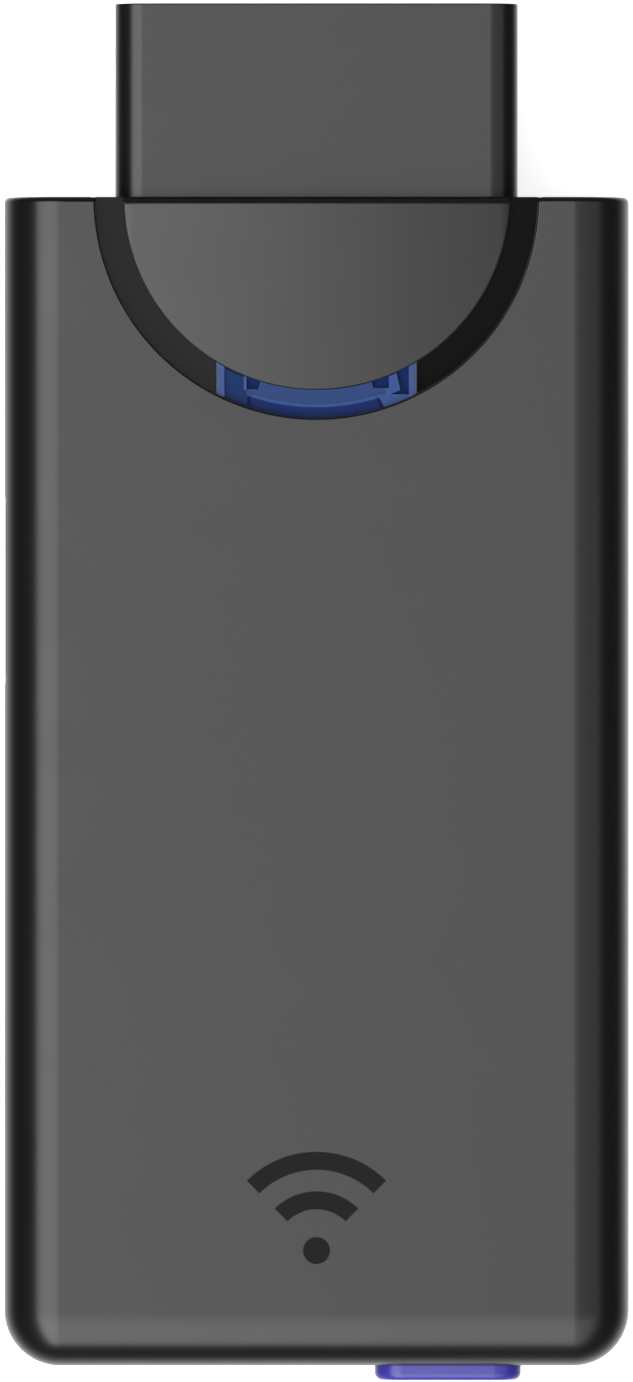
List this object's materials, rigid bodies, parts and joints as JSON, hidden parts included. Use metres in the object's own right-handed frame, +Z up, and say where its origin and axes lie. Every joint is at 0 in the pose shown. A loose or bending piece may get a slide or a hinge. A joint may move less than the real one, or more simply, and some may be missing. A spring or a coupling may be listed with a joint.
{
  "type": "plug-in wireless receiver",
  "caption": "Stick-shaped plug-in wireless receiver with a wide moulded plug, a half-round thumb pad with an arc status light, a side power and data port, and a pairing button.",
  "frame": {"origin": "under the middle of the whole object, on the plane it rests on", "axes": "+Z up out of the face with the thumb pad, +Y out of the plug, +X to the side with the pairing button, so the side port faces -X"},
  "size_m": [0.038, 0.0838, 0.012],
  "materials": {
    "case_plastic": "satin near-black plastic",
    "plug_plastic": "satin near-black plastic",
    "pad_plastic": "satin near-black plastic",
    "gloss_trim": "gloss black",
    "light_blue": "clear blue, moulded",
    "mark_ink": "flat dark ink",
    "black_moulding": "glass-filled black",
    "contact_metal": "thin gold plate",
    "board_green": "green solder mask",
    "screw_steel": "bright zinc",
    "chip_black": "epoxy",
    "tin_can": "tinned sheet",
    "ceramic_tan": "ceramic",
    "copper_strip": "copper",
    "lamp_white": "clear resin over white",
    "socket_steel": "nickel-plated sheet",
    "plunger_white": "natural nylon",
    "button_purple": "satin violet plastic",
    "label_black": "blank polyester label"
  },
  "bodies": {
    "case": {"top_shell": "case_plastic", "bottom_shell": "case_plastic", "thumb_pad": "pad_plastic", "arc_trim": "gloss_trim", "light_guide": "light_blue", "wireless_mark": "mark_ink", "plug_housing": "plug_plastic", "contact_carrier": "black_moulding", "plug_contacts": "contact_metal", "main_board": "board_green", "board_screws": "screw_steel", "main_chip": "chip_black", "memory_chip": "chip_black", "crystal": "tin_can", "radio_shield": "tin_can", "voltage_regulator": "chip_black", "capacitors": "ceramic_tan", "resistors": "chip_black", "antenna": "copper_strip", "status_leds": "lamp_white", "usb_shell": "socket_steel", "usb_tongue": "black_moulding", "usb_contacts": "contact_metal", "switch_body": "black_moulding", "switch_cover": "tin_can", "switch_legs": "screw_steel", "base_label": "label_black"},
    "button": {"pair_button": "button_purple"},
    "plunger": {"switch_plunger": "plunger_white"}
  },
  "joints": [
    {"name": "pair_button_press", "type": "slide", "parent": "case", "child": "button", "axis": [0, 1, 0], "range_m": [0, 0.0003], "stiffness_N_per_m": 5000},
    {"name": "switch_plunger_press", "type": "slide", "parent": "case", "child": "plunger", "axis": [0, 1, 0], "range_m": [0, 0.0003]}
  ],
  "couplings": [
    {"joint": "switch_plunger_press", "follows": "pair_button_press", "ratio": 1}
  ]
}
